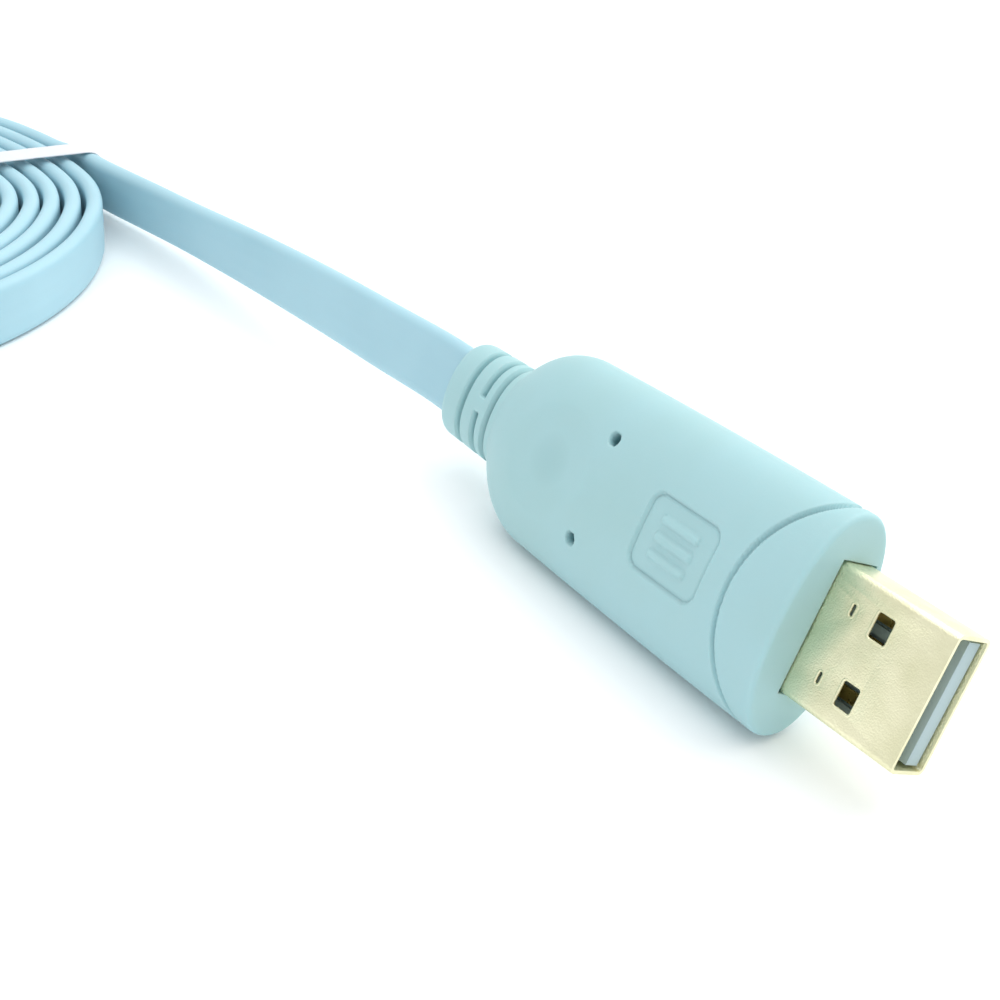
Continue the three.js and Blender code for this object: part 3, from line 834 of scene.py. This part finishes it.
@dataclass
class ContactBody:
    """A moulded body and its row of plated contacts, each made from a CAD node."""

    node: str
    name: str
    finish: Finish
    edge: float
    contacts: int
    contact_node: str
    contact_name: str
    contact_edge: float = 0.05

    def build(self, bench: Bench) -> list[bpy.types.Object]:
        """Adds the body and its contacts.

        Args:
            bench: Where they are put together.

        Returns:
            The pieces.
        """
        pieces = [bench.crisp_copy(self.node, self.name, self.finish, self.edge)]
        for number in range(1, self.contacts + 1):
            pieces.append(bench.crisp_copy(f"{self.contact_node}_{number}", f"{self.contact_name}_{number}",
                                           Finish.GOLD, self.contact_edge))
        return pieces


FAR_PLUG = ContactBody("rj45_plug", "clear_plug", Finish.CLEAR, 0.12, 8, "rj45_contact", "far_contact")
TONGUE = ContactBody("usb_tongue", "plug_tongue", Finish.TONGUE, 0.06, 4, "usb_contact", "near_contact")


@dataclass
class Housing:
    """The USB plug's moulded housing, with its strain relief, in the plug's frame."""

    half_width: float = 10.2
    half_thickness: float = 5.35
    thickness_taper: float = 0.5
    offset: float = 1.2
    roundness: float = 2.2
    front_edge: float = 0.5
    edge_steps: int = 10
    dome_start: float = -33.5
    dome_radius: float = 9.65
    relief_half_width: float = 5.2
    relief_rear_half_width: float = 5.0
    relief_half_thickness: float = 3.5
    relief_rear_half_thickness: float = 3.2
    relief_offset: float = 0.6
    relief_end: float = -51.3
    relief_edge: float = 1.6
    groove_radius: float = 14.0
    groove_back: float = -6.4
    groove_width: float = 0.44
    groove_depth: float = 0.45
    groove_wall: float = 0.11
    relief_grooves: tuple[float, ...] = (-47.3, -44.7, -42.9)
    bridged: int = 1
    relief_groove_width: float = 0.75
    relief_groove_depth: float = 0.95
    bridge: float = 1.7
    bridge_wall: float = 0.1
    hole_x: float = -24.7
    hole_spacing: float = 9.9
    hole_radius: float = 0.575
    hole_depth: float = 2.8
    hole_wall: float = 0.14
    dimple_x: float = -31.0
    dimple_sphere: float = 38.0
    dimple_depth: float = 0.4
    pocket_x: float = -13.1
    pocket_length: float = 8.6
    pocket_width: float = 7.2
    pocket_corner: float = 1.3
    pocket_depth: float = 0.28
    pocket_wall: float = 0.06
    pocket_lip: float = 0.14
    pocket_lip_in: float = 0.12
    pocket_lip_width: float = 0.1
    bar_length: float = 4.6
    bar_width: float = 0.7
    bar_spacing: float = 1.6
    bar_corner: float = 0.45
    bar_wall: Pair = (-0.04, 0.09)
    shell_width: float = 12.0
    shell_height: float = 4.5
    gap: float = 0.1
    face_shares: tuple[float, ...] = (0.1, 0.4, 0.7, 0.97, 1.0)
    socket_depths: Pair = (0.05, 5.0)
    around: int = 336
    step: float = 0.4
    fine: tuple[Triple, ...] = (
        (-48.2, -42.2, 0.13), (-25.6, -23.8, 0.1), (-17.9, -8.3, 0.13), (-7.2, -0.5, 0.12),
    )

    def __post_init__(self) -> None:
        """Works out where the round rear meets the strain relief."""
        self.dome_turn = math.acos(self.relief_half_width / self.dome_radius)
        self.dome_end = self.dome_start - self.dome_radius * math.sin(self.dome_turn)

    def oval(self, x: float) -> Triple:
        """The outline's size at a place along the housing.

        Args:
            x: The place.

        Returns:
            Its half width, half thickness and offset.
        """
        if x >= self.dome_start:
            along = (x / self.dome_start) ** 2
            thick = self.half_thickness - self.thickness_taper * along
            return mix(self.half_width, self.dome_radius, along), thick, self.offset
        if x >= self.dome_end:
            turn = math.asin((self.dome_start - x) / self.dome_radius)
            left = (math.cos(turn) - math.cos(self.dome_turn)) / (1.0 - math.cos(self.dome_turn))
            thick = mix(self.relief_half_thickness, self.half_thickness - self.thickness_taper, left)
            return self.dome_radius * math.cos(turn), thick, mix(self.relief_offset, self.offset, left)
        along = (self.dome_end - x) / (self.dome_end - self.relief_end)
        wide = mix(self.relief_half_width, self.relief_rear_half_width, along)
        thick = mix(self.relief_half_thickness, self.relief_rear_half_thickness, along)
        return wide, thick, self.relief_offset

    def end_inset(self, x: float) -> float:
        """How far the rounded end edges draw the outline in.

        Args:
            x: The place along the housing.

        Returns:
            The distance.
        """
        drawn = 0.0
        for distance, radius in ((x - self.relief_end, self.relief_edge), (-x, self.front_edge)):
            if distance < radius:
                drawn += radius - math.sqrt(max(0.0, radius ** 2 - (radius - distance) ** 2))
        return drawn

    @staticmethod
    def cut(distance: float, half: float, depth: float, wall: float) -> float:
        """The depth of a groove or hole with soft lips.

        Args:
            distance: The distance from its middle.
            half: Half of its width.
            depth: Its full depth.
            wall: How wide its sloping wall is.

        Returns:
            The depth here.
        """
        return depth * (1.0 - smoothstep(distance, half - wall / 2, half + wall / 2))

    def groove_sink(self, x: float, y: float) -> float:
        """How deep the grooves are, which run around the front and the strain relief.

        Args:
            x: The place along the housing.
            y: The place across it.

        Returns:
            The depth.
        """
        deepest = 0.0
        middle = self.groove_back + self.groove_radius
        if x < middle:
            off = abs(math.hypot(x - middle, y) - self.groove_radius + self.groove_width / 2)
            deepest = self.cut(off, self.groove_width / 2, self.groove_depth, self.groove_wall)
        for number, place in enumerate(self.relief_grooves):
            off = abs(x - place)
            if off > self.relief_groove_width:
                continue
            sunk = self.cut(off, self.relief_groove_width / 2, self.relief_groove_depth, self.groove_wall)
            if number == self.bridged:
                half = self.bridge / 2
                sunk *= smoothstep(abs(y), half - self.bridge_wall, half + self.bridge_wall)
            deepest = max(deepest, sunk)
        return deepest

    def pocket_sink(self, x: float, y: float) -> float:
        """How deep the pocket is, with its three raised bars and the fine line inside its edge.

        Args:
            x: The place along the housing.
            y: The place across it.

        Returns:
            The depth.
        """
        x -= self.pocket_x
        off = rounded_box_distance(x, y, self.pocket_length / 2, self.pocket_width / 2, self.pocket_corner)
        sunk = self.pocket_depth * (1.0 - smoothstep(off, -self.pocket_wall, self.pocket_wall))
        for place in (-1, 0, 1):
            bar = rounded_box_distance(x, y - place * self.bar_spacing, self.bar_length / 2,
                                       self.bar_width / 2, self.bar_width * self.bar_corner)
            sunk *= smoothstep(bar, *self.bar_wall)
        return sunk + self.pocket_lip * swell(off, -self.pocket_lip_in, self.pocket_lip_width)

    def depth(self, x: float, y: float, on_top: bool) -> float:
        """How far the surface is sunk.

        Args:
            x: The place along the housing.
            y: The place across it.
            on_top: Whether it is on the marked side.

        Returns:
            The depth.
        """
        deepest = self.groove_sink(x, y)
        if not on_top:
            return deepest
        if abs(x - self.pocket_x) < self.pocket_length:
            deepest = max(deepest, self.pocket_sink(x, y))
        for side in (-1, 1):
            off = math.hypot(x - self.hole_x, y - side * self.hole_spacing / 2)
            deepest = max(deepest, self.cut(off, self.hole_radius, self.hole_depth, self.hole_wall))
        off = math.hypot(x - self.dimple_x, y)
        return max(deepest, self.dimple_depth - off * off / (2 * self.dimple_sphere))

    def ring(self, x: float) -> list[tuple[Vector, float]]:
        """The surface around the housing.

        Args:
            x: The place along it.

        Returns:
            Its points, each with how far it is sunk.
        """
        wide, thick, offset = self.oval(x)
        drawn = self.end_inset(x)
        wide -= drawn
        thick -= drawn
        out = []
        for i in range(self.around):
            angle = math.tau * i / self.around
            y = wide * signed_power(math.cos(angle), 2.0 / self.roundness)
            z = thick * signed_power(math.sin(angle), 2.0 / self.roundness)
            normal = Vector((0.0, math.copysign((abs(y) / wide) ** (self.roundness - 1.0) / wide, y),
                             math.copysign((abs(z) / thick) ** (self.roundness - 1.0) / thick, z)))
            sunk = self.depth(x, y, z > 0.0)
            out.append((Vector((x, y, z + offset)) - normal.normalized() * sunk, sunk))
        return out

    def socket_ring(self, x: float, share: float) -> list[tuple[Vector, float]]:
        """A ring on the front face or in the shell's socket.

        Args:
            x: Its place along the plug.
            share: 0 at the face's rounded edge, 1 at the shell's own outline.

        Returns:
            The ring's points, matched to those of the outside, and none of them sunk.
        """
        half_y = self.shell_width / 2 + self.gap
        half_z = self.shell_height / 2 + self.gap
        out = []
        for point, _ in self.ring(0.0):
            way = Vector((point.y, point.z - self.offset * (1.0 - share)))
            way.normalize()
            reach = min(half_y / max(TINY, abs(way.x)), half_z / max(TINY, abs(way.y)))
            inner = Vector((x, way.x * reach, way.y * reach))
            out.append((Vector((x, mix(point.y, inner.y, share), mix(point.z, inner.z, share))), 0.0))
        return out

    def stations(self) -> list[float]:
        """The places along the housing at which its rings stand: close together where it has fine detail.

        Returns:
            The places.
        """
        curve = [1.0 - math.cos(math.pi / 2 * i / self.edge_steps) for i in range(self.edge_steps + 1)]
        out = [self.relief_end + self.relief_edge * part for part in curve[:-1]]
        start = self.relief_end + self.relief_edge
        for low, high, close in self.fine:
            for a, b, stride in ((start, low, self.step), (low, high, close)):
                count = round((b - a) / stride)
                out += [mix(a, b, i / count) for i in range(count)]
            start = high
        return out + [-self.front_edge * part for part in reversed(curve)]

    def mesh(self) -> bpy.types.Mesh:
        """Lofts the housing, and keeps how far each point is sunk, which sets the painted shade in its
        grooves and holes.

        Returns:
            Its closed mesh.
        """
        rings = [self.ring(x) for x in self.stations()]
        rings += [self.socket_ring(0.0, share) for share in self.face_shares]
        rings += [self.socket_ring(-depth, 1.0) for depth in self.socket_depths]
        frame = POSE.matrix()
        work = bmesh.new()
        layer = work.verts.layers.float.new("sunk")
        made = []
        for ring in rings:
            verts = []
            for point, sunk in ring:
                vert = work.verts.new((frame @ point) * MM)
                vert[layer] = sunk
                verts.append(vert)
            made.append(verts)
        join_rings(work, made)
        return finished_mesh(work, "usb_cover")

    def build(self, bench: Bench) -> list[bpy.types.Object]:
        """Adds the housing.

        Args:
            bench: Where it is put together.

        Returns:
            The piece, in a list.
        """
        cover = bench.add("usb_cover", self.mesh(), Finish.VINYL)
        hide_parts("usb_housing")
        return [cover]


@dataclass
class MetalShell:
    """The USB plug's folded shell, with rolled rims around its windows and slots, in the plug's frame.

    A window and a slot are given by place along the plug, length and width.
    """

    edge: float = 0.1
    spacing: float = 6.08
    window: Triple = (5.755, 1.95, 2.45)
    slot: Triple = (2.7, 0.55, 1.25)
    face: float = 2.25
    rim: float = 0.15
    rim_sink: float = 0.75
    window_corner: float = 0.33
    slot_corner: float = 0.25
    corner_steps: int = 6
    around: int = 10

    def outline(self, half_x: float, half_y: float, corner: float) -> list[tuple[float, float, float, float]]:
        """A rounded rectangle's edge.

        Args:
            half_x: Half of its length.
            half_y: Half of its width.
            corner: The radius of its corners.

        Returns:
            Its points, each with its outward direction.
        """
        out = []
        for number, (sx, sy) in enumerate(((1, 1), (-1, 1), (-1, -1), (1, -1))):
            for i in range(self.corner_steps + 1):
                turn = math.pi / 2 * (number + i / self.corner_steps)
                c = math.cos(turn)
                k = math.sin(turn)
                out.append((sx * (half_x - corner) + corner * c, sy * (half_y - corner) + corner * k, c, k))
        return out

    def rims(self) -> bpy.types.Mesh:
        """Rolls the rims.

        Returns:
            One mesh of them all.
        """
        openings = []
        for side in (-1, 1):
            y = side * self.spacing / 2
            for sign in (-1, 1):
                openings.append((self.window, self.window_corner, y, sign))
            openings.append((self.slot, self.slot_corner, y, 1))
        frame = POSE.matrix()
        work = bmesh.new()
        for (x, length, width), corner, y, sign in openings:
            rings = []
            for px, py, c, k in self.outline(length / 2, width / 2, corner):
                ring = []
                for i in range(self.around):
                    turn = math.tau * i / self.around
                    reach = self.rim * math.cos(turn)
                    z = sign * (self.face + self.rim * (math.sin(turn) - self.rim_sink))
                    place = Vector((x + px + c * reach, y + py + k * reach, z))
                    ring.append(work.verts.new((frame @ place) * MM))
                rings.append(ring)
            join_rings(work, rings, closed=True)
        return finished_mesh(work, "window_rims")

    def build(self, bench: Bench) -> list[bpy.types.Object]:
        """Adds the shell and its rims.

        Args:
            bench: Where they are put together.

        Returns:
            The pieces.
        """
        shell = bench.crisp_copy("usb_shell", "steel_shell", Finish.STEEL, self.edge)
        return [shell, bench.add("window_rims", self.rims(), Finish.STEEL)]


@dataclass(frozen=True)
class Lamp:
    """A soft square light: its place, aim and side in metres, its power in watts, and its colour."""

    name: str
    place: Triple
    aim: Triple
    side: float
    power: float
    colour: Triple

    def hang(self) -> None:
        """Adds the light to the scene, turned to what it points at."""
        data = bpy.data.lights.new(self.name, "AREA")
        data.size = self.side
        data.energy = self.power
        data.color = self.colour
        lamp = bpy.data.objects.new(self.name, data)
        turn = (Vector(self.aim) - Vector(self.place)).to_track_quat("-Z", "Y").to_matrix().to_4x4()
        lamp.matrix_world = Matrix.Translation(self.place) @ turn
        bpy.context.collection.objects.link(lamp)


@dataclass
class Studio:
    """The camera at the photograph's viewing angle, the pale floor and the soft light.

    The focal length is in picture widths, and the clip distances and the floor's half side are in metres.
    """

    sensor: float = 36.0
    focal: float = 1.65
    clip: Pair = (0.005, 20.0)
    place: Triple = (90.489, -87.731, 84.556)
    right: Triple = (0.57152, 0.81716, 0.07494)
    down: Triple = (0.45645, -0.24068, -0.85658)
    ahead: Triple = (-0.68193, 0.52376, -0.51054)
    floor_half: float = 6.0
    floor_colour: Triple = (0.97, 0.98, 0.985)
    floor_rough: float = 0.6
    floor_specular: float = 0.2
    room_colour: Triple = (0.96, 0.985, 1.0)
    room_strength: float = 0.85
    lamps: tuple[Lamp, ...] = (
        Lamp("window", (0.0, 1.0, 0.95), (-0.02, 0.0, 0.0), 1.5, 9.0, (1.0, 1.0, 0.97)),
        Lamp("overhead", (-0.05, 0.1, 1.0), (-0.03, 0.0, 0.0), 1.3, 5.0, (1.0, 1.0, 1.0)),
    )

    def set_camera(self) -> None:
        """Sets the camera."""
        data = bpy.data.cameras.new("camera")
        data.sensor_width = self.sensor
        data.sensor_fit = "HORIZONTAL"
        data.lens = self.sensor * self.focal
        data.clip_start = self.clip[0]
        data.clip_end = self.clip[1]
        camera = bpy.data.objects.new("camera", data)
        turn = Matrix((Vector(self.right), -Vector(self.down), -Vector(self.ahead))).transposed().to_4x4()
        camera.matrix_world = Matrix.Translation(Vector(self.place) * MM) @ turn
        bpy.context.collection.objects.link(camera)
        bpy.context.scene.camera = camera

    def lay_floor(self) -> None:
        """Lays the plain pale floor."""
        mesh = bpy.data.meshes.new("floor")
        h = self.floor_half
        mesh.from_pydata([(-h, -h, 0), (h, -h, 0), (h, h, 0), (-h, h, 0)], [], [(0, 1, 2, 3)])
        floor = bpy.data.objects.new("floor", mesh)
        bpy.context.collection.objects.link(floor)
        material = bpy.data.materials.new("pale_floor")
        material.use_nodes = True
        set_sockets(material.node_tree.nodes["Principled BSDF"], {
            "Base Color": (*self.floor_colour, 1.0),
            "Roughness": self.floor_rough,
            "Specular IOR Level": self.floor_specular,
        })
        mesh.materials.append(material)

    def light(self) -> None:
        """Sets the pale world light and the soft lamps."""
        world = bpy.data.worlds.new("pale_room")
        world.use_nodes = True
        set_sockets(world.node_tree.nodes["Background"], {
            "Color": (*self.room_colour, 1.0),
            "Strength": self.room_strength,
        })
        bpy.context.scene.world = world
        for lamp in self.lamps:
            lamp.hang()
        bpy.context.scene.view_settings.view_transform = "Standard"


def report(pieces: Sequence[bpy.types.Object]) -> None:
    """Logs each piece with its number of faces."""
    for piece in pieces:
        LOG.info("%s: %d faces", piece.name, len(piece.data.polygons))


def main() -> None:
    """Builds the scene in order: the camera, the cord and what is on it, the USB plug, then the studio."""
    logging.basicConfig(level=logging.INFO)
    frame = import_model()
    studio = Studio()
    studio.set_camera()
    bench = Bench(frame)
    lead = FlatLead()
    cord = lead.build(bench)
    on_cord = [Tie(lead).build(bench), *FAR_PLUG.build(bench)]
    lead.declare()
    report([cord, *on_cord])
    for assembly in (Housing(), MetalShell(), TONGUE):
        report(assembly.build(bench))
    studio.lay_floor()
    studio.light()


if __name__ == "__main__":
    main()
